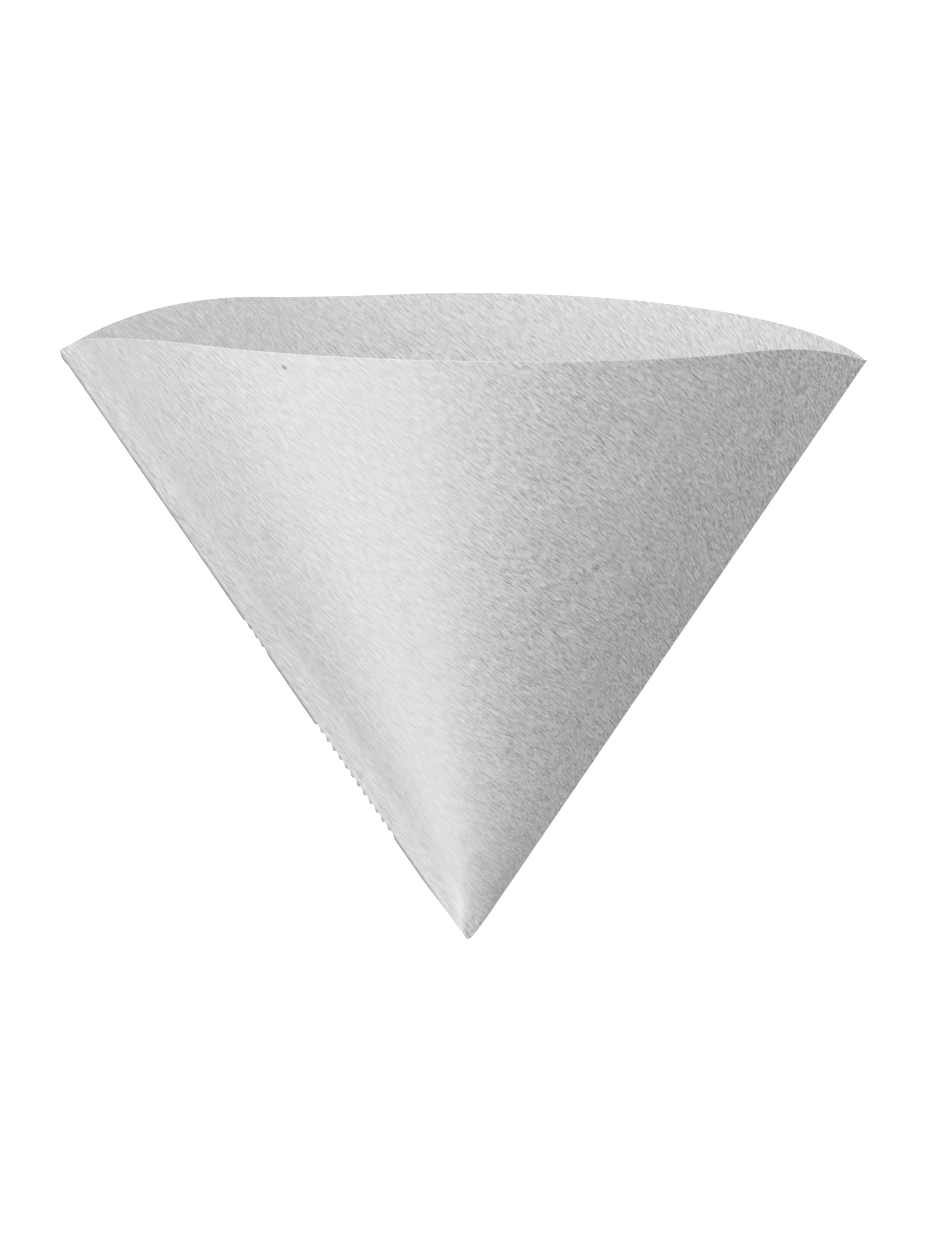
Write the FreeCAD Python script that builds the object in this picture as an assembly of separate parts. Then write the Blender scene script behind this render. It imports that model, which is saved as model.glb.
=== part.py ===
import FreeCAD, Part
import math
import os

# Cone coffee filter of creped paper. One blank is folded in half, its two plies are crimped
# together along one edge, and the mouth is opened. It lies on its back ply.
# Millimetres, +Z up, tip towards -Y, mouth towards +Y, crimped seam at -X, fold at +X.

# Blank
seam_edge = 120.0          # outer edge of the crimped seam, tip to mouth
fold_edge = 117.5          # folded edge, tip to mouth
rim_radius = 138.0         # die-cut arc of the mouth
seam_width = 3.0           # strip where both plies are crimped together
paper_thickness = 0.25     # creped paper, over its wrinkles
tip_radius = 1.1           # rounded corner between the seam and the fold

# Mouth held open. Each ply is rolled as three patches of right cones that share the apex and
# are tangent to each other: a seam patch, a middle patch and a fold patch.
opening_angle = 68.0       # between the seam line and the fold
front_seam_angle = 72.0    # how steeply the front ply leaves the seam
front_fold_angle = 62.0    # and the fold
front_roll = 29.5          # half angle of the front ply's middle patch
front_axis_shift = -0.5    # that patch's axis is tilted this far towards the fold
front_axis_lean = 0.0      # and this far out to the front
back_seam_angle = 62.0
back_fold_angle = 77.0
back_roll = 18.5
back_axis_shift = -5.5
back_axis_lean = 10.0

# Crimped teeth along the outer edge of the seam
tooth_pitch = 1.8
fine_tooth_depth = 0.2
deep_tooth_depth = 0.35
fine_teeth_from_mouth = 54.0
fine_tooth_count = 4
deep_teeth_from_mouth = 75.0
deep_tooth_count = 13

# At rest
settle_turn = 6.0          # turn about the cone's axis at which it lies still

X_AXIS = FreeCAD.Vector(1, 0, 0)
Y_AXIS = FreeCAD.Vector(0, 1, 0)
Z_AXIS = FreeCAD.Vector(0, 0, 1)

# The filter is drawn standing on its tip, which is at the origin, with the seam and the fold
# in the XZ plane and the front ply towards -Y.
half_opening = math.radians(opening_angle / 2)
tip = FreeCAD.Vector(0, 0, 0)
along_seam = FreeCAD.Vector(-math.sin(half_opening), 0, math.cos(half_opening))
along_fold = FreeCAD.Vector(math.sin(half_opening), 0, math.cos(half_opening))
into_seam = FreeCAD.Vector(math.cos(half_opening), 0, math.sin(half_opening))
into_fold = FreeCAD.Vector(-math.cos(half_opening), 0, math.sin(half_opening))
cone_apex = along_fold * (seam_width / math.sin(2 * half_opening))
draw_height = 1.2 * max(seam_edge, fold_edge)


def inward_normal(into_ply, outward, crease_angle):
    """Normal of a ply at its crease, towards the inside of the cone."""
    slope = math.radians(crease_angle)
    return into_ply * math.sin(slope) - outward * math.cos(slope)


def side_patch(crease, normal, middle_axis, roll):
    """Axis and half angle of the cone through a crease that is tangent to the middle cone."""
    across = middle_axis.dot(crease) - math.cos(roll)
    inward = math.sin(roll) - middle_axis.dot(normal)
    half_angle = math.atan2(across, inward)
    axis = crease * math.cos(half_angle) + normal * math.sin(half_angle)
    return axis, half_angle


def shared_line(axis, half_angle, middle_axis, roll):
    """Direction along which a side patch and the middle patch touch."""
    line = middle_axis * math.sin(half_angle) - axis * math.sin(roll)
    return line * (1 / math.sin(half_angle - roll))


def patch_wall(axis, half_angle, start, end):
    """Paper between two straight lines from the apex, on a right cone about the axis."""
    normal = (axis - start * math.cos(half_angle)) * (1 / math.sin(half_angle))
    outer_top = cone_apex + start * draw_height
    inner_top = outer_top + normal * paper_thickness
    inner_apex = cone_apex + axis * (paper_thickness / math.sin(half_angle))
    profile = Part.Face(Part.makePolygon([cone_apex, outer_top, inner_top, inner_apex, cone_apex]))
    start_arm = start - axis * axis.dot(start)
    end_arm = end - axis * axis.dot(end)
    turn = math.degrees(math.atan2(axis.dot(start_arm.cross(end_arm)), start_arm.dot(end_arm)))
    return profile.revolve(cone_apex, axis, turn)


def ply_walls(outward, seam_angle, fold_angle, roll_angle, axis_shift, axis_lean):
    """The three patches of one ply, from the seam to the fold."""
    roll = math.radians(roll_angle)
    tilt = X_AXIS * math.tan(math.radians(axis_shift)) + outward * math.tan(math.radians(axis_lean))
    middle_axis = (Z_AXIS + tilt).normalize()
    seam_normal = inward_normal(into_seam, outward, seam_angle)
    fold_normal = inward_normal(into_fold, outward, fold_angle)
    seam_axis, seam_half = side_patch(along_seam, seam_normal, middle_axis, roll)
    fold_axis, fold_half = side_patch(along_fold, fold_normal, middle_axis, roll)
    first_line = shared_line(seam_axis, seam_half, middle_axis, roll)
    second_line = shared_line(fold_axis, fold_half, middle_axis, roll)
    return [
        patch_wall(seam_axis, seam_half, along_seam, first_line),
        patch_wall(middle_axis, roll, first_line, second_line),
        patch_wall(fold_axis, fold_half, second_line, along_fold),
    ]


def rim_ball():
    """Ball whose surface passes through both corners of the mouth and cuts the rim."""
    seam_corner = along_seam * seam_edge
    fold_corner = along_fold * fold_edge
    between = fold_corner - seam_corner
    middle = (seam_corner + fold_corner) * 0.5
    drop = math.sqrt(rim_radius ** 2 - (between.Length / 2) ** 2)
    down = FreeCAD.Vector(between.z, 0, -between.x)
    down.normalize()
    return Part.makeSphere(rim_radius, middle + down * drop)


def tooth_row(from_mouth, count, depth):
    """Points of a row of teeth, from the mouth towards the tip, each with a short steep side."""
    points = []
    for index in range(count):
        start = seam_edge - from_mouth - index * tooth_pitch
        points.append(along_seam * start)
        points.append(along_seam * (start - 0.25 * tooth_pitch) + into_seam * depth)
    points.append(along_seam * (start - tooth_pitch))
    return points


def seam_strip(outward):
    """One ply's flat strip of the seam, with crimped teeth and the rounded tip of the filter."""
    inner_reach = seam_width + paper_thickness
    strip_end = along_seam * draw_height
    fold_meet = along_fold * (inner_reach / math.sin(2 * half_opening))
    tangent_length = tip_radius / math.tan(half_opening)
    arc_start = along_seam * tangent_length
    arc_end = along_fold * tangent_length
    arc_middle = Z_AXIS * (tip_radius / math.sin(half_opening) - tip_radius)
    fine_row = tooth_row(fine_teeth_from_mouth, fine_tooth_count, fine_tooth_depth)
    deep_row = tooth_row(deep_teeth_from_mouth, deep_tooth_count, deep_tooth_depth)
    outer_side = Part.makePolygon([strip_end] + fine_row + deep_row + [arc_start])
    tip_arc = Part.Arc(arc_start, arc_middle, arc_end).toShape()
    inner_side = Part.makePolygon([arc_end, fold_meet, strip_end + into_seam * inner_reach, strip_end])
    outline = Part.Wire(outer_side.Edges + [tip_arc] + inner_side.Edges)
    return Part.Face(outline).extrude(outward * paper_thickness)


def whole_ply(patches, outward):
    """One ply cut to the rim and mitred on the plane of the seam and the fold, with its strip."""
    corner = FreeCAD.Vector(-draw_height, 0, -draw_height)
    if outward.y < 0:
        corner.y = -2 * draw_height
    own_side = Part.makeBox(2 * draw_height, 2 * draw_height, 3 * draw_height, corner)
    wall = patches[0].fuse(patches[1:]).common(own_side)
    return wall.fuse(seam_strip(outward)).common(rim_ball())


def standing_filter():
    front_side = Y_AXIS * -1
    back_side = Y_AXIS
    front_patches = ply_walls(
        front_side, front_seam_angle, front_fold_angle, front_roll, front_axis_shift, front_axis_lean)
    back_patches = ply_walls(
        back_side, back_seam_angle, back_fold_angle, back_roll, back_axis_shift, back_axis_lean)
    front_ply = whole_ply(front_patches, front_side)
    back_ply = whole_ply(back_patches, back_side)
    return front_ply.fuse(back_ply).removeSplitter()


def lie_down(shape):
    """Turn the filter onto its back ply, so that its tip and its back rim touch z = 0."""
    shape.rotate(tip, Z_AXIS, settle_turn)
    tip_height = tip_radius / math.sin(half_opening) - tip_radius
    points, facets = shape.tessellate(0.05)
    back_slopes = [
        math.atan2(point.y - paper_thickness, point.z - tip_height)
        for point in points if point.z > fold_edge / 2
    ]
    shape.rotate(tip, X_AXIS, math.degrees(max(back_slopes)) - 90)
    box = shape.BoundBox
    shape.translate(FreeCAD.Vector(-box.Center.x, -box.Center.y, -box.ZMin))
    return shape


def only_solid(shape):
    solids = shape.Solids
    if len(solids) != 1:
        raise ValueError("the filter should be one solid, not %d" % len(solids))
    return solids[0]


os.makedirs("parts", exist_ok=True)
filter_paper = only_solid(lie_down(standing_filter()))
filter_paper.exportStep("parts/filter_paper.step")
print("valid", filter_paper.isValid(), "volume", round(filter_paper.Volume, 1))
print("box", filter_paper.BoundBox)
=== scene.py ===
import math

import bpy
import numpy as np
from mathutils import Matrix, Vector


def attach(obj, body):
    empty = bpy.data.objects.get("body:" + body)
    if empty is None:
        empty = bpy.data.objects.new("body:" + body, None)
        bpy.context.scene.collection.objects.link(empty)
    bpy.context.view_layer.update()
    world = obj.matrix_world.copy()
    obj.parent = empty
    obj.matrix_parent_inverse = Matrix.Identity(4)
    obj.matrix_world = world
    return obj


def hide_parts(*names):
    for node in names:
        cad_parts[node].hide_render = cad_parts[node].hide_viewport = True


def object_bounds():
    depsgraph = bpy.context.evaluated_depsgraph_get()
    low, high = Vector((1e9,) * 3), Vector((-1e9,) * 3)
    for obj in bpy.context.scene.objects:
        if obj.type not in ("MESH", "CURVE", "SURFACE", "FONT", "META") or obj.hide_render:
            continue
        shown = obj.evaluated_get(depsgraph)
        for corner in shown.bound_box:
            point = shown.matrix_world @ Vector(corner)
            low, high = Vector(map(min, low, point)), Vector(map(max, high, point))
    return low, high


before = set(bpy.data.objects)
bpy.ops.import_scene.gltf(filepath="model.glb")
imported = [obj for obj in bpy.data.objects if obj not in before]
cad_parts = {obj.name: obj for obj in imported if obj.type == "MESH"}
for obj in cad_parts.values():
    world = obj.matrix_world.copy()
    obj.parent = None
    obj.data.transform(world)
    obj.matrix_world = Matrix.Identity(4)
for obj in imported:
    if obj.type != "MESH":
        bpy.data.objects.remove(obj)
cadBox = [list(corner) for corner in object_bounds()]
mm = 0.001


def hexColour(text, alpha=1.0):  # sRGB hex to linear
    channels = [int(text[i:i + 2], 16) / 255 for i in (1, 3, 5)]
    return [c / 12.92 if c <= 0.04045 else ((c + 0.055) / 1.055) ** 2.4 for c in channels] + [alpha]


def addNode(tree, kind, settings=None, inputs=None):
    node = tree.nodes.new(kind)
    for name, value in (settings or {}).items():
        setattr(node, name, value)
    for name, value in (inputs or {}).items():
        if isinstance(value, bpy.types.NodeSocket):
            tree.links.new(value, node.inputs[name])
        else:
            node.inputs[name].default_value = value
    return node


# The filter is one sheet, folded along the fold and crimped together at the seam.
# Millimetres and degrees. It is drawn standing on its tip, seam at -X, front ply towards -Y.
crepedFilter = {
    "seamEdge": 120.0,
    "foldEdge": 117.5,
    "rimRadius": 138.0,
    "seamWidth": 3.0,
    "tipRadius": 1.1,
    "openingAngle": 68.0,
    "front": {"seamAngle": 72.0, "foldAngle": 62.0, "roll": 29.5, "shift": -0.5, "lean": 0.0},
    "back": {"seamAngle": 62.0, "foldAngle": 77.0, "roll": 18.5, "shift": -5.5, "lean": 10.0},
    "stripStand": 0.25,           # a strip's outer face stands this far off the middle plane
    "wall": 0.21,                 # paper thickness
    "creaseBend": (2.4, 4.5),     # how far the bend beside the seam runs into the strip and into the ply
    "foldBend": 0.7,              # half width of the rounded fold
    "stripFoldBend": 0.2,
    "edgeMargin": 0.45,           # outermost part of the seam, which carries the teeth
    "stripColumns": 1,
    "bendColumns": (8, 14),       # in the strip and in the ply
    "plyColumns": 385,
    "cornerColumns": 14,          # columns that close up towards the mouth's fold corner
    "rows": 54,
    "bendRows": 4,
    "rowEase": 1.25,              # rows lie closer together near the fold
    "edgeCuts": 8,                # cuts of each edge that carries teeth
    "toothPitch": 1.8,
    "steepShare": 0.15,           # part of a tooth taken by its steep side
    "teeth": ((54.0, 4, 0.25), (75.0, 13, 0.45)),   # from the mouth, how many, depth
    "cornerStep": (2.6, 0.12),    # small step in the cut edge below the seam's corner
    "edgeOut": (1.2, 0.38),       # the pressed edge spreads: within what length of the corner, how far
    "seamBow": (30.0, 28.0, 0.1),    # where from the tip the seam bulges, over what length, how far
    "wrinkleLean": (-18.9, 0.443),   # from the seam's direction at the seam, and its gain over the ply
    "wrinkleSpread": (0.55, 7.51),   # wrinkles lie further apart towards the fold: power and factor
    "wrinkles": ((0.8, 5.0, 0.035), (1.6, 6.0, 0.05)),   # spacing at the tip, length, height
    # Depth of the front ply's wrinkles by the turn from the seam, in radians.
    "fineDepth": ((0.0, 1.2), (0.12, 1.25), (0.35, 1.4), (0.6, 0.55), (0.75, 0.6), (1.0, 2.3), (1.7, 2.9)),
    "coarseDepth": ((0.0, 0.08), (0.8, 0.08), (1.15, 1.3), (1.7, 1.7)),
    "wrinkleWander": (0.6, 14.0, 30.0),   # how far wrinkles stray, within what length along and across
    "backDepth": (1.3, 0.5),      # the back ply's fine and coarse wrinkles
    "pressedStrip": (1.0, 12.0, 0.7),     # from where to where the crimp fades, its wrinkle depth
    "flatSeam": (1.0, 4.0),       # no coarse wrinkles at the seam
    "paintedEdgeLine": (-0.3, 0.15),     # painted shade: the cut edge's dark line, across the seam
    "tipEase": 12.0,              # the seam's bulge starts within this length above the tip's arc
    "mouthRow": 0.2,              # the edge's points this close to the mouth are set on its corner
    "weld": 0.004,                # points closer than this are merged
    "stripCrowd": (0.5, 6.0),     # wrinkles crowd at the seam by this much, within about this width
    "fanOrigin": -1.0,            # the wrinkles fan out from here, just outside the seam
    "calmFold": (3.0, 9.0),       # wrinkles fade towards the fold
    "calmRim": (5.0, 0.1),        # and towards the rim, but not wholly
    "calmTip": (70.0, 0.4),       # full depth this far from the tip, and the share of it left there
    "settleTurn": 6.0,
    "layTurn": -61.7653,
    "layShift": (0.7082, -59.1394, -0.1814),
}


def unit(vector):
    return vector / np.linalg.norm(vector)


halfOpening = math.radians(crepedFilter["openingAngle"] / 2)
xAxis, yAxis, zAxis = np.eye(3)
alongSeam = np.array([-math.sin(halfOpening), 0, math.cos(halfOpening)])
alongFold = np.array([math.sin(halfOpening), 0, math.cos(halfOpening)])
intoSeam = np.array([math.cos(halfOpening), 0, math.sin(halfOpening)])
intoFold = np.array([-math.cos(halfOpening), 0, math.sin(halfOpening)])
coneApex = alongFold * crepedFilter["seamWidth"] / math.sin(2 * halfOpening)
seamCorner = alongSeam * crepedFilter["seamEdge"]
foldCorner = alongFold * crepedFilter["foldEdge"]
apexDrop = crepedFilter["seamWidth"] / math.tan(2 * halfOpening)   # tip below the apex, along the seam

# The rim is where the sheet meets a ball through both corners of the mouth.
mouthWidth = np.linalg.norm(foldCorner - seamCorner)
towardTip = -unit(np.cross(yAxis, foldCorner - seamCorner))
if towardTip @ (seamCorner + foldCorner) > 0:
    towardTip = -towardTip
ballDrop = math.sqrt(crepedFilter["rimRadius"] ** 2 - (mouthWidth / 2) ** 2)
ballCentre = (seamCorner + foldCorner) / 2 + towardTip * ballDrop


# A cone through a crease, tangent to the middle one.
def sideCone(crease, into, outward, creaseAngle, middleAxis, roll):
    creaseAngle = math.radians(creaseAngle)
    normal = into * math.sin(creaseAngle) - outward * math.cos(creaseAngle)
    half = math.atan2(middleAxis @ crease - math.cos(roll), math.sin(roll) - middleAxis @ normal)
    axis = crease * math.cos(half) + normal * math.sin(half)
    sharedLine = (middleAxis * math.sin(half) - axis * math.sin(roll)) / math.sin(half - roll)
    return axis, half, unit(sharedLine)


def plyPatches(ply, outward):   # start line, axis, turn and flat angle of the three cones of a ply
    middleAxis = unit(zAxis + xAxis * math.tan(math.radians(ply["shift"]))
                      + outward * math.tan(math.radians(ply["lean"])))
    roll = math.radians(ply["roll"])
    seamAxis, seamHalf, firstLine = sideCone(
        alongSeam, intoSeam, outward, ply["seamAngle"], middleAxis, roll)
    foldAxis, foldHalf, secondLine = sideCone(
        alongFold, intoFold, outward, ply["foldAngle"], middleAxis, roll)
    patches = []
    for axis, half, start, end in ((seamAxis, seamHalf, alongSeam, firstLine),
                                   (middleAxis, roll, firstLine, secondLine),
                                   (foldAxis, foldHalf, secondLine, alongFold)):
        startArm = start - axis * (start @ axis)
        endArm = end - axis * (end @ axis)
        turn = math.atan2(axis @ np.cross(startArm, endArm), startArm @ endArm)
        patches.append((start, axis, turn, abs(turn * math.sin(half))))
    return patches


def rolled(patches, across, along):   # a point of the flat ply, from the apex, on its rolled place
    distance = np.hypot(across, along)
    angle = np.arctan2(across, along)
    points = np.zeros(distance.shape + (3,))
    begin = 0.0
    for start, axis, turn, flat in patches:
        omega = (angle - begin) / flat * turn
        centre = axis * (start @ axis)
        arm = start - centre
        line = centre + np.cos(omega)[..., None] * arm + np.sin(omega)[..., None] * np.cross(axis, arm)
        inside = angle >= begin - 1e-9
        points[inside] = (distance[..., None] * line)[inside]
        begin += flat
    return coneApex + points


def rimReach(place, low):   # how far each column runs before it meets the rim
    high = np.full(low.shape, crepedFilter["seamEdge"] + 10)
    low = low + 1e-5
    for step in range(50):
        middle = (low + high) / 2
        short = np.linalg.norm(place(middle) - ballCentre, axis=-1) < crepedFilter["rimRadius"]
        low = np.where(short, middle, low)
        high = np.where(short, high, middle)
    return low


def columnStations():
    margin, strip = crepedFilter["edgeMargin"], crepedFilter["seamWidth"]
    stripBend, bend = crepedFilter["creaseBend"]
    inStrip = np.linspace(margin, strip - stripBend, crepedFilter["stripColumns"] + 1)[:-1]
    inBend = np.linspace(strip - stripBend, strip, crepedFilter["bendColumns"][0] + 1)[:-1]
    beforeCrease = np.concatenate([inStrip, inBend])
    foldLength = crepedFilter["foldEdge"] - strip / math.sin(2 * halfOpening)
    besideCrease = np.linspace(0, bend, crepedFilter["bendColumns"][1] + 1)[:-1]
    count, corner = crepedFilter["plyColumns"], crepedFilter["cornerColumns"]
    fromCorner = np.arange(count, -1, -1.0)
    eased = np.where(fromCorner < corner, fromCorner ** 2 / (2 * corner), fromCorner - corner / 2)
    spread = foldLength - eased * (foldLength - bend) / (count - corner / 2)
    return beforeCrease, np.concatenate([besideCrease, spread])


stripStations, foldStations = columnStations()
columnCount = len(stripStations) + len(foldStations) - 1
firstBend = crepedFilter["stripColumns"]
creaseColumn = len(stripStations)
lastBend = creaseColumn + crepedFilter["bendColumns"][1]
rowCount = crepedFilter["rows"]
bendRows = crepedFilter["bendRows"]


def tipEdge(across):   # lower end of the strip, with the rounded tip, along the seam from the apex
    radius = crepedFilter["tipRadius"]
    line = -(crepedFilter["seamWidth"] - across) / math.tan(2 * halfOpening)
    centre = radius / math.tan(halfOpening) - apexDrop
    meet = radius * (1 + math.cos(2 * halfOpening))
    arc = centre - np.sqrt(np.maximum(0, radius ** 2 - (across - radius) ** 2))
    return np.where(across < meet, arc, line)


def stripPlace(across, along, outward, stand):
    inner = (crepedFilter["seamWidth"] - across)[..., None]
    return coneApex + along[..., None] * alongSeam - inner * intoSeam + stand * outward


def plyPoints(ply, outward):   # places and flat coordinates of one ply's columns and rows
    patches = plyPatches(ply, outward)
    total = sum(patch[3] for patch in patches)
    stand = crepedFilter["stripStand"]
    plyAcross = foldStations * math.sin(total)
    low = np.concatenate([tipEdge(stripStations), foldStations * math.cos(total)])
    high = np.concatenate([
        rimReach(lambda along: stripPlace(stripStations, along, outward, 0.0), low[:creaseColumn]),
        rimReach(lambda along: rolled(patches, plyAcross, along), low[creaseColumn:])])
    length = high - low
    length[-1] = 0 if outward @ yAxis < 0 else length[-1]
    bend = np.full(length.shape, crepedFilter["foldBend"])
    bend[:creaseColumn] = crepedFilter["stripFoldBend"]
    bend[creaseColumn:lastBend + 1] = np.linspace(crepedFilter["stripFoldBend"], crepedFilter["foldBend"],
                                                  lastBend + 1 - creaseColumn)
    bend = np.minimum(bend, 0.4 * length)
    inBend = np.arange(bendRows + 1) / bendRows
    beyond = (np.arange(1, rowCount - bendRows + 1) / (rowCount - bendRows)) ** crepedFilter["rowEase"]
    rows = np.concatenate(
        [bend[:, None] * inBend, bend[:, None] + (length - bend)[:, None] * beyond], axis=1)
    along = low[:, None] + rows
    points = np.zeros(along.shape + (3,))
    stripAcross = np.repeat(stripStations[:, None], rowCount + 1, axis=1)
    points[:creaseColumn] = stripPlace(stripAcross, along[:creaseColumn], outward, stand)
    points[:creaseColumn, 0] = stripPlace(stripStations, low[:creaseColumn], outward, 0.0)
    spread = np.repeat(plyAcross[:, None], rowCount + 1, axis=1)
    points[creaseColumn:] = rolled(patches, spread, along[creaseColumn:])
    turning = points[[firstBend, creaseColumn, lastBend]].copy()
    turning[1, 1:] += outward * stand / 2
    for column in range(firstBend, lastBend):   # rounded bend beside the strip
        t = (column - firstBend) / (lastBend - firstBend)
        points[column] = (1 - t) ** 2 * turning[0] + 2 * t * (1 - t) * turning[1] + t ** 2 * turning[2]
    across = np.concatenate([stripAcross, spread + crepedFilter["seamWidth"]])
    return points, across, along


print("filter: laying out the folded sheet")
frontPoints, frontAcross, frontAlong = plyPoints(crepedFilter["front"], -yAxis)
backPoints, backAcross, backAlong = plyPoints(crepedFilter["back"], yAxis)
foldPoints = frontPoints[:, 0].copy()
frontEnd, backEnd = frontPoints[:, bendRows].copy(), backPoints[:, bendRows].copy()
for row in range(bendRows):   # rounded fold
    for points, side in ((frontPoints, 1), (backPoints, -1)):
        t = 0.5 + side * 0.5 * row / bendRows
        points[:, row] = (1 - t) ** 2 * backEnd + 2 * t * (1 - t) * foldPoints + t ** 2 * frontEnd

bpy.ops.object.select_all(action="DESELECT")
bpy.ops.mesh.primitive_grid_add(x_subdivisions=columnCount, y_subdivisions=2 * rowCount, size=2)
paper = bpy.context.object
paper.name = "crepedFilter"
paper.data.name = "crepedFilter"
sheet = paper.data
gridPlaces = np.zeros(len(sheet.vertices) * 3)
sheet.vertices.foreach_get("co", gridPlaces)
gridPlaces = gridPlaces.reshape(-1, 3)
column = np.rint((gridPlaces[:, 0] + 1) / 2 * columnCount).astype(int)
row = np.rint((gridPlaces[:, 1] + 1) / 2 * 2 * rowCount).astype(int) - rowCount
isFront = row >= 0
step = np.abs(row)
places = np.where(isFront[:, None], frontPoints[column, step], backPoints[column, step])
flatPlaces = np.zeros_like(places)
flatPlaces[:, 0] = np.where(isFront, frontAcross[column, step], backAcross[column, step])
flatPlaces[:, 1] = np.where(isFront, frontAlong[column, step], -backAlong[column, step])
flatPlaces[:, 2] = row
sheet.vertices.foreach_set("co", (places * mm).ravel())
flatLayer = sheet.attributes.new("flatPlace", "FLOAT_VECTOR", "POINT")
flatLayer.data.foreach_set("vector", flatPlaces.ravel())
sheet.update()
print("filter:", columnCount, "columns,", 2 * rowCount, "rows")

# The crimped teeth: the seam's edge is cut finer, drawn out and set to its saw line.
print("filter: crimping the seam's edge")
bpy.ops.object.mode_set(mode="EDIT")
bpy.ops.mesh.select_mode(type="EDGE")
bpy.ops.mesh.select_all(action="DESELECT")
bpy.ops.object.mode_set(mode="OBJECT")
onEdge = column == 0
for edge in sheet.edges:
    edge.select = bool(onEdge[edge.vertices[0]] and onEdge[edge.vertices[1]])
bpy.ops.object.mode_set(mode="EDIT")
bpy.ops.mesh.subdivide(number_cuts=crepedFilter["edgeCuts"])
bpy.ops.mesh.extrude_edges_move()
bpy.ops.object.mode_set(mode="OBJECT")


def readVector(layer, size):
    values = np.zeros(len(layer) * size)
    layer.foreach_get("vector", values)
    return values.reshape(-1, size)


def sawDepth(fromMouth):   # how far the crimped edge lies inside the straight edge
    stepAt, stepDepth = crepedFilter["cornerStep"]
    depth = np.where(fromMouth > stepAt, stepDepth, 0.0)
    for start, count, height in crepedFilter["teeth"]:
        phase = (fromMouth - start) / crepedFilter["toothPitch"]
        inRow = (phase >= 0) & (phase < count)
        part = phase % 1
        steep = crepedFilter["steepShare"]
        saw = np.where(part < steep, part / steep, (1 - part) / (1 - steep))
        depth = np.where(inRow, stepDepth + height * saw, depth)
    return depth


count = len(sheet.vertices)
places = np.zeros(count * 3)
sheet.vertices.foreach_get("co", places)
places = places.reshape(-1, 3) / mm
picked = np.zeros(count, dtype=bool)
sheet.vertices.foreach_get("select", picked)
flatPlaces = readVector(sheet.attributes["flatPlace"].data, 3)
seamRun = places[picked] @ alongSeam      # from the tip along the seam
aside = places[picked] @ yAxis
side = np.sign(aside) * np.minimum(np.abs(aside), crepedFilter["stripStand"])
seamRun[seamRun > seamRun.max() - crepedFilter["mouthRow"]] = crepedFilter["seamEdge"]
arcCentre = crepedFilter["tipRadius"] / math.tan(halfOpening)
arcInset = crepedFilter["tipRadius"] - np.sqrt(np.maximum(
    0, crepedFilter["tipRadius"] ** 2 - np.minimum(0, seamRun - arcCentre) ** 2))
inset = np.maximum(sawDepth(crepedFilter["seamEdge"] - seamRun), arcInset)
inset = np.minimum(inset, crepedFilter["edgeMargin"])
bowAt, bowLength, bowHeight = crepedFilter["seamBow"]
outLength, outHeight = crepedFilter["edgeOut"]
nearCorner = np.clip((crepedFilter["seamEdge"] - seamRun) / outLength, 0, 1)
nearTip = np.clip((seamRun - arcCentre) / crepedFilter["tipEase"], 0, 1)   # no bulge on the rounded tip
bow = outHeight * nearCorner + bowHeight * np.exp(-((seamRun - bowAt) / bowLength) ** 2)
inset -= bow * nearTip
places[picked] = seamRun[:, None] * alongSeam + inset[:, None] * intoSeam + side[:, None] * yAxis
flatPlaces[picked, 0] = inset
sheet.vertices.foreach_set("co", (places * mm).ravel())
sheet.attributes["flatPlace"].data.foreach_set("vector", flatPlaces.ravel())
sheet.update()
bpy.ops.object.mode_set(mode="EDIT")
bpy.ops.mesh.select_all(action="SELECT")
bpy.ops.mesh.remove_doubles(threshold=crepedFilter["weld"] * mm)
bpy.ops.mesh.normals_make_consistent(inside=False)
bpy.ops.object.mode_set(mode="OBJECT")


def latticeNoise(seed, across, along):   # smooth noise between -1 and 1 on a lattice of seeded values
    values = np.random.RandomState(seed).uniform(-1, 1, (256, 256))
    cellA, cellB = np.floor(across).astype(int), np.floor(along).astype(int)
    partA, partB = across - cellA, along - cellB
    partA = partA * partA * (3 - 2 * partA)
    partB = partB * partB * (3 - 2 * partB)

    def corner(a, b):
        return values[(cellA + a) % 256, (cellB + b) % 256]

    near = corner(0, 0) * (1 - partB) + corner(0, 1) * partB
    far = corner(1, 0) * (1 - partB) + corner(1, 1) * partB
    return near * (1 - partA) + far * partA


def smoothStep(value, start, end):
    part = np.clip((value - start) / (end - start), 0, 1)
    return part * part * (3 - 2 * part)


def wrinklePlace(across, upwards):   # runs across the wrinkles, which fan out from the seam
    lean, gain = math.radians(crepedFilter["wrinkleLean"][0]), crepedFilter["wrinkleLean"][1]
    fromOrigin = across - crepedFilter["fanOrigin"]
    turn = np.arctan2(fromOrigin, upwards)
    rise = np.sin((1 - gain) * turn - lean) ** (1 / (1 - gain))
    place = np.hypot(fromOrigin, upwards) * rise
    crowd, crowdWidth = crepedFilter["stripCrowd"]
    crowded = crowd * crowdWidth * (1 - np.exp(-across / crowdWidth))
    power, factor = crepedFilter["wrinkleSpread"]
    return factor * ((place + 1) ** power - 1) + crowded, turn


print("filter: creping the paper")
count = len(sheet.vertices)
places = np.zeros(count * 3)
sheet.vertices.foreach_get("co", places)
places = places.reshape(-1, 3)
normals = readVector(sheet.vertex_normals, 3)
flatPlaces = readVector(sheet.attributes["flatPlace"].data, 3)
across, along = flatPlaces[:, 0], flatPlaces[:, 1]
onFront = flatPlaces[:, 2] > -0.5
crossing, turn = wrinklePlace(across, np.where(onFront, along, -along))
relief = np.zeros(count)
stray, strayAlong, strayAcross = crepedFilter["wrinkleWander"]
for index, (spacing, length, height) in enumerate(crepedFilter["wrinkles"]):
    wander = stray * latticeNoise(20 + index, along / strayAlong, across / strayAcross)
    relief += height * (latticeNoise(index, crossing / spacing + wander, along / length) - 1)
fineDepth, coarseDepth = [
    np.where(onFront, np.interp(turn, *np.transpose(crepedFilter[name])), backDepth)
    for name, backDepth in zip(("fineDepth", "coarseDepth"), crepedFilter["backDepth"])]
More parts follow.
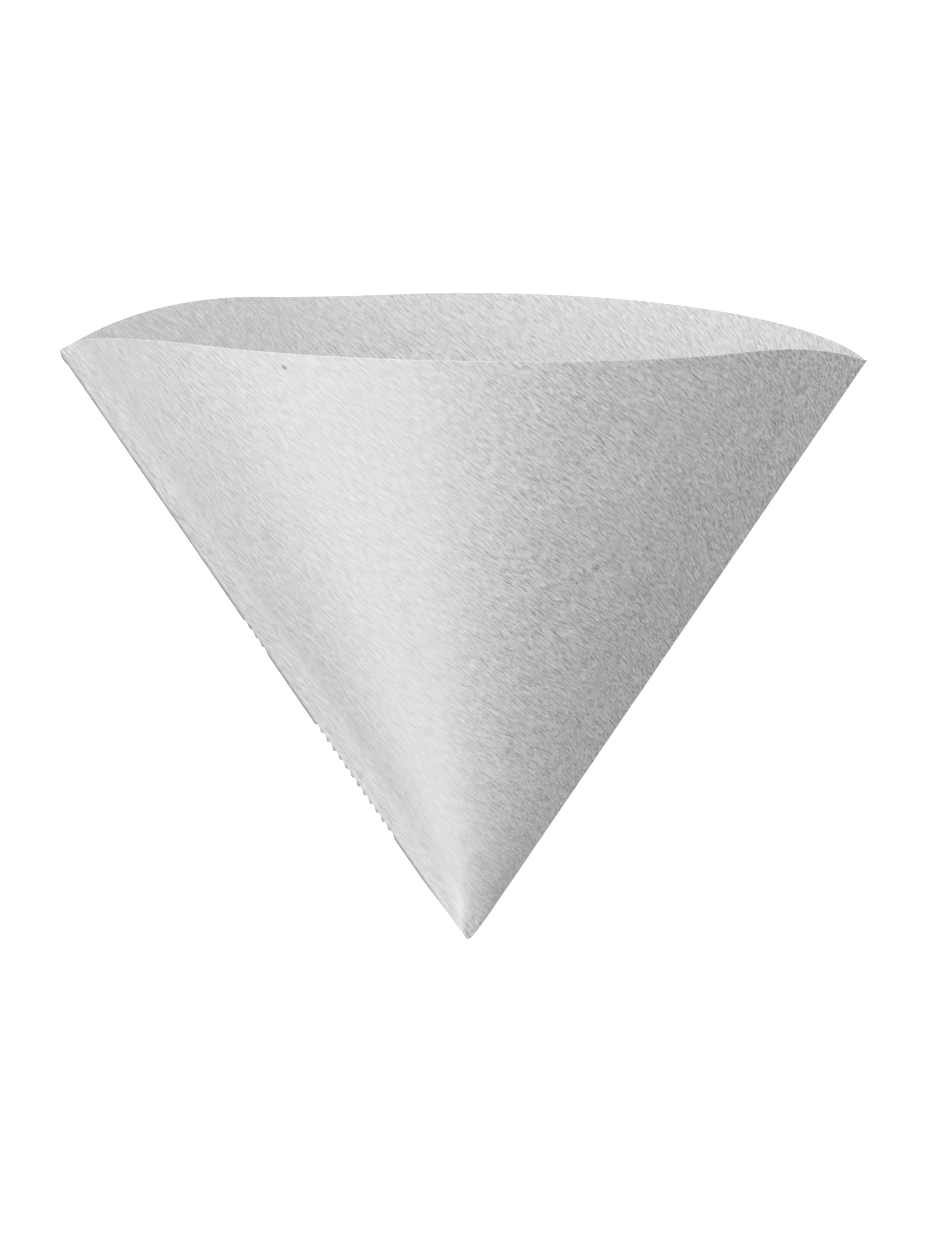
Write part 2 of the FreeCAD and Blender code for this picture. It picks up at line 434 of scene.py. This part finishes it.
fromFold = np.linalg.norm(np.cross(places / mm - coneApex, alongFold), axis=1)
calm = smoothStep(across, *crepedFilter["flatSeam"]) * smoothStep(fromFold, *crepedFilter["calmFold"])
calmLength, calmShare = crepedFilter["calmRim"]
fromRim = crepedFilter["rimRadius"] - np.linalg.norm(places / mm - ballCentre, axis=1)
calm *= calmShare + (1 - calmShare) * smoothStep(fromRim, 0, calmLength)
relief *= calm * coarseDepth
stripFrom, stripTo, stripDepth = crepedFilter["pressedStrip"]
fineDepth *= stripDepth + (1 - stripDepth) * smoothStep(across, stripFrom, stripTo)
tipLength, tipShare = crepedFilter["calmTip"]
fineDepth *= tipShare + (1 - tipShare) * smoothStep(np.hypot(across, along), 0, tipLength)
# painted shade: a thin dark line along the seam's cut edge
edgeShade = 1 - smoothStep(across, *crepedFilter["paintedEdgeLine"])
for name, values in (("wrinkleDepth", fineDepth), ("edgeShade", edgeShade)):
    sheet.attributes.new(name, "FLOAT", "POINT").data.foreach_set("value", values)
places += normals * (relief * mm)[:, None]
sheet.vertices.foreach_set("co", places.ravel())
sheet.update()

turnZ = Matrix.Rotation(math.radians(crepedFilter["settleTurn"]), 4, "Z")
turnX = Matrix.Rotation(math.radians(crepedFilter["layTurn"]), 4, "X")
shift = Matrix.Translation([value * mm for value in crepedFilter["layShift"]])
sheet.transform(shift @ turnX @ turnZ)
sheet.update()

flatMap = sheet.uv_layers.active or sheet.uv_layers.new(name="flatSheet")
flatMap.name = "flatSheet"
loopVertex = np.zeros(len(sheet.loops), dtype=int)
sheet.loops.foreach_get("vertex_index", loopVertex)
sheetSpan = 300.0        # the UV map's square is this many millimetres of the flat sheet
flatUv = np.stack([crossing / sheetSpan, 0.5 + along / sheetSpan], axis=1)
flatMap.data.foreach_set("uv", flatUv[loopVertex].ravel())

solid = paper.modifiers.new("paperThickness", "SOLIDIFY")
solid.thickness = crepedFilter["wall"] * mm
solid.offset = -1
bpy.ops.object.modifier_apply(modifier=solid.name)
shell = np.zeros(len(sheet.vertices) * 3)
sheet.vertices.foreach_get("co", shell)
shell = np.clip(shell.reshape(-1, 3), *cadBox)     # the fold's corner keeps its inner face inside
sheet.vertices.foreach_set("co", shell.ravel())
sheet.update()
bpy.ops.object.shade_smooth_by_angle(angle=math.radians(50))
print("filter:", len(sheet.polygons), "faces")

# Creped filter paper, bleached: a soft fibre sheet with no gloss, crimped into fine wrinkles on the
# drying roll, so that light across them shows a fine grain. Real fibres are about a tenth as wide as
# drawn here, too fine to show.
filterPaper = {
    "paper": "#ECEDEB",
    # painted shade: the wrinkles' valleys are mixed towards this darker colour
    "shade": "#CDCECC",
    "wrinklePitch": 0.18,     # mm, of the pattern's cells near the tip, wider further up
    "wrinkleLength": 2.2,
    "fibrePitch": 0.3,
    "wrinkleHeight": 0.42,
    "fibreHeight": 0.045,
    "roughness": 0.9,
    "gloss": 0.1,
    "wrinklePattern": {"Detail": 1.5, "Roughness": 0.5, "Distortion": 0.25},
    "fibreDetail": 2.0,
    "edgeSharpness": 2.5,
    # painted shade: the colour of the thin dark line along the seam's cut edge
    "paintedEdgeShade": "#6A6B69",
    "speck": "#AFAFAC",       # one fibre knot in the front ply
    "speckPlace": (0.19550, 0.82450),
    "speckSize": (0.001, 0.0025),
    "speckFade": (0.3, 1.0),
}


def filterPaperMaterial():
    material = bpy.data.materials.new("bleachedCrepedFilterPaper")
    material.use_nodes = True
    tree = material.node_tree
    tree.nodes.clear()
    place = addNode(tree, "ShaderNodeUVMap", {"uv_map": "flatSheet"})
    pitch, length = filterPaper["wrinklePitch"], filterPaper["wrinkleLength"]
    wrinkleMap = addNode(tree, "ShaderNodeMapping", {}, {
        "Vector": place.outputs["UV"], "Scale": (sheetSpan / pitch, sheetSpan / length, 1)})
    wrinkles = addNode(tree, "ShaderNodeTexNoise", {"noise_dimensions": "2D"}, {
        "Vector": wrinkleMap.outputs["Vector"], "Scale": 1.0, **filterPaper["wrinklePattern"]})
    fibreMap = addNode(tree, "ShaderNodeMapping", {}, {
        "Vector": place.outputs["UV"], "Scale": (sheetSpan / filterPaper["fibrePitch"],) * 2 + (1,)})
    fibres = addNode(tree, "ShaderNodeTexNoise", {"noise_dimensions": "2D"}, {
        "Vector": fibreMap.outputs["Vector"], "Scale": 1.0, "Detail": filterPaper["fibreDetail"]})
    depth = addNode(tree, "ShaderNodeAttribute", {"attribute_name": "wrinkleDepth"})
    wrinkleRelief = addNode(tree, "ShaderNodeMath", {"operation": "MULTIPLY"}, {
        0: wrinkles.outputs["Fac"], 1: depth.outputs["Fac"]})
    fibreRelief = addNode(tree, "ShaderNodeMath", {"operation": "MULTIPLY"}, {
        0: fibres.outputs["Fac"], 1: depth.outputs["Fac"]})
    # painted shade: the colour darkens in the wrinkles' valleys, following the same pattern as the bump
    valleyShaded = addNode(tree, "ShaderNodeMix", {"data_type": "RGBA"}, {
        0: wrinkles.outputs["Fac"], 6: hexColour(filterPaper["shade"]), 7: hexColour(filterPaper["paper"])})
    # painted shade along the seam's cut edge, mixed in where edgeShade is high
    edge = addNode(tree, "ShaderNodeAttribute", {"attribute_name": "edgeShade"})
    sharpEdge = addNode(tree, "ShaderNodeMath", {"operation": "POWER"}, {
        0: edge.outputs["Fac"], 1: filterPaper["edgeSharpness"]})
    edged = addNode(tree, "ShaderNodeMix", {"data_type": "RGBA"}, {
        0: sharpEdge.outputs[0], 6: valleyShaded.outputs[2], 7: hexColour(filterPaper["paintedEdgeShade"])})
    speckMap = addNode(tree, "ShaderNodeMapping", {"vector_type": "TEXTURE"}, {
        "Vector": place.outputs["UV"], "Location": filterPaper["speckPlace"] + (0,),
        "Scale": filterPaper["speckSize"] + (1,)})
    speckReach = addNode(tree, "ShaderNodeVectorMath", {"operation": "LENGTH"}, {
        "Vector": speckMap.outputs["Vector"]})
    fadeStart, fadeEnd = filterPaper["speckFade"]
    speckFade = addNode(tree, "ShaderNodeMapRange", {"interpolation_type": "SMOOTHSTEP"}, {
        "Value": speckReach.outputs["Value"], "From Min": fadeStart, "From Max": fadeEnd,
        "To Min": 1.0, "To Max": 0.0})
    colour = addNode(tree, "ShaderNodeMix", {"data_type": "RGBA"}, {
        0: speckFade.outputs["Result"], 6: edged.outputs[2], 7: hexColour(filterPaper["speck"])})
    coarse = addNode(tree, "ShaderNodeBump", {}, {
        "Height": wrinkleRelief.outputs[0], "Distance": filterPaper["wrinkleHeight"] * mm, "Strength": 1.0})
    fine = addNode(tree, "ShaderNodeBump", {}, {
        "Height": fibreRelief.outputs[0], "Distance": filterPaper["fibreHeight"] * mm,
        "Strength": 1.0, "Normal": coarse.outputs["Normal"]})
    surface = addNode(tree, "ShaderNodeBsdfPrincipled", {}, {
        "Base Color": colour.outputs[2], "Roughness": filterPaper["roughness"],
        "Normal": fine.outputs["Normal"], "Specular IOR Level": filterPaper["gloss"]})
    addNode(tree, "ShaderNodeOutputMaterial", {}, {"Surface": surface.outputs["BSDF"]})
    return material


paper.data.materials.clear()
paper.data.materials.append(filterPaperMaterial())
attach(paper, "root")
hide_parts("filter_paper")

print("stage: floor, lamps and camera")
studio = {
    "floorSize": 6.0,
    "floor": "#8C8C8C",
    "floorGlow": 0.88,
    "world": 1.055,
    "keyPlace": (-0.95, -0.2, 0.75),
    "keySize": 1.0,
    "keyPower": 5.1,
    "fillPlace": (0.1, 1.1, 0.5),      # from the mouth's side, into the cone
    "fillSize": 0.8,
    "fillPower": 1.8,
    "focal": 174.9,
    "cameraPlace": (143.694, -346.043, 948.609),
    "cameraRight": (0.98932, 0.06423, -0.13083),
    "cameraUp": (-0.01552, 0.93898, 0.34363),
}
bpy.ops.object.select_all(action="DESELECT")
bpy.ops.mesh.primitive_plane_add(size=studio["floorSize"], location=(0, 0, -0.0002))
floor = bpy.context.object
floor.name = "floor"
floorMaterial = bpy.data.materials.new("paleFloor")
floorMaterial.use_nodes = True
tree = floorMaterial.node_tree
tree.nodes.clear()
ray = addNode(tree, "ShaderNodeLightPath")
matte = addNode(tree, "ShaderNodeBsdfDiffuse", {}, {"Color": hexColour(studio["floor"])})
glow = addNode(tree, "ShaderNodeEmission", {}, {"Color": (1, 1, 1, 1), "Strength": studio["floorGlow"]})
both = addNode(tree, "ShaderNodeAddShader")
tree.links.new(matte.outputs[0], both.inputs[0])
tree.links.new(glow.outputs[0], both.inputs[1])
direct = addNode(tree, "ShaderNodeMath", {"operation": "MAXIMUM"}, {
    0: ray.outputs["Is Camera Ray"], 1: ray.outputs["Is Glossy Ray"]})
clear = addNode(tree, "ShaderNodeMath", {"operation": "MAXIMUM"}, {
    0: direct.outputs[0], 1: ray.outputs["Is Transmission Ray"]})
seen = addNode(tree, "ShaderNodeMixShader", {}, {0: clear.outputs[0]})
tree.links.new(matte.outputs[0], seen.inputs[1])
tree.links.new(both.outputs[0], seen.inputs[2])
addNode(tree, "ShaderNodeOutputMaterial", {}, {"Surface": seen.outputs[0]})
floor.data.materials.append(floorMaterial)

world = bpy.data.worlds.new("studio")
bpy.context.scene.world = world
world.use_nodes = True
tree = world.node_tree
tree.nodes.clear()
sky = addNode(tree, "ShaderNodeBackground", {}, {"Color": (1, 1, 1, 1), "Strength": studio["world"]})
addNode(tree, "ShaderNodeOutputWorld", {}, {"Surface": sky.outputs[0]})


def aimed(place, target=(0, 0, 0.02)):
    back = unit(np.array(place) - np.array(target))
    right = unit(np.cross(zAxis, back))
    up = np.cross(back, right)
    matrix = Matrix([[right[i], up[i], back[i], place[i]] for i in range(3)] + [[0, 0, 0, 1]])
    return matrix


for name in ("key", "fill"):
    bpy.ops.object.light_add(type="AREA")
    lamp = bpy.context.object
    lamp.name = name + "Lamp"
    lamp.data.shape = "SQUARE"
    lamp.data.size = studio[name + "Size"]
    lamp.data.energy = studio[name + "Power"]
    lamp.matrix_world = aimed(studio[name + "Place"])

bpy.ops.object.camera_add()
camera = bpy.context.object
camera.data.lens = studio["focal"]
camera.data.sensor_width = 36
camera.data.clip_start, camera.data.clip_end = 0.05, 20
right, up = unit(np.array(studio["cameraRight"])), np.array(studio["cameraUp"])
back = unit(np.cross(right, up))
up = np.cross(back, right)
spot = np.array(studio["cameraPlace"]) * mm
camera.matrix_world = Matrix([[right[i], up[i], back[i], spot[i]] for i in range(3)] + [[0, 0, 0, 1]])
bpy.context.scene.camera = camera
bpy.context.scene.view_settings.view_transform = "Standard"
